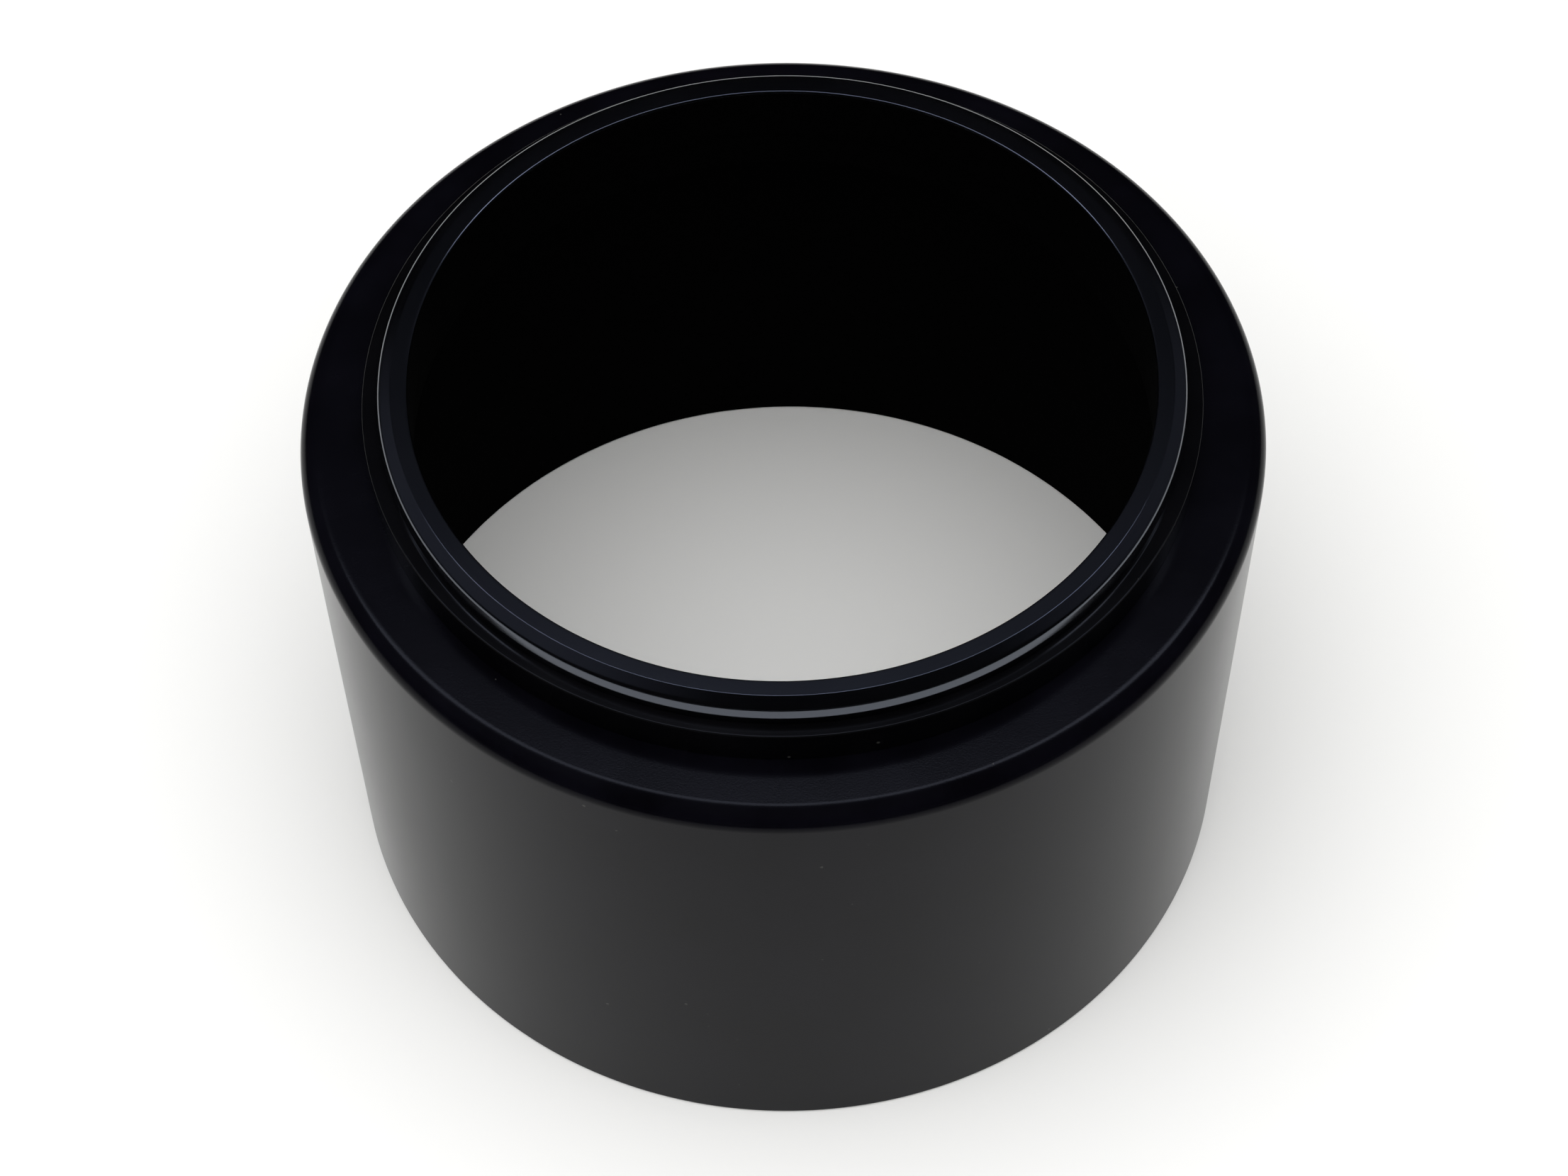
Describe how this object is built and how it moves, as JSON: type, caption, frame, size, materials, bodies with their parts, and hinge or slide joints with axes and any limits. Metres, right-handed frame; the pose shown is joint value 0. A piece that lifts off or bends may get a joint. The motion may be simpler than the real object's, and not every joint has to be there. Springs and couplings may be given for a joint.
{
  "type": "stepped light hood sleeve",
  "caption": "Open, thin-walled black metal sleeve with a rounded shoulder, a flocked inside and a short stepped neck that screws out, for the front of a telescope, finder or lens.",
  "frame": {"origin": "centre of the open mouth, in the plane that the sleeve stands on", "axes": "+Z along the tube's axis, from the mouth to the neck; the object is a body of revolution about it"},
  "size_m": [0.06, 0.06, 0.0411],
  "materials": {
    "barrel_anodised": "fine bead-blasted, black anodised, satin",
    "collar_anodised": "fine turned, black anodised, satin",
    "bush_anodised": "fine turned, black anodised, glossiest on the bevelled rim, matt black in the bore",
    "flocking": "matt black short-pile flocking"
  },
  "bodies": {
    "barrel": {"barrel": "barrel_anodised", "barrel_liner": "flocking"},
    "collar": {"neck_collar": "collar_anodised"},
    "bush": {"neck_bush": "bush_anodised"}
  },
  "joints": [
    {"name": "neck_rise", "type": "slide", "parent": "barrel", "child": "collar", "axis": [0, 0, 1], "range_m": [0, 0.003]},
    {"name": "bush_turn", "type": "hinge", "parent": "collar", "child": "bush", "pos_m": [0, 0, 0.035], "axis": [0, 0, 1], "range_deg": [0, 1440]}
  ],
  "couplings": [
    {"joint": "neck_rise", "follows": "bush_turn", "m_per_rad": 0.00011936}
  ]
}
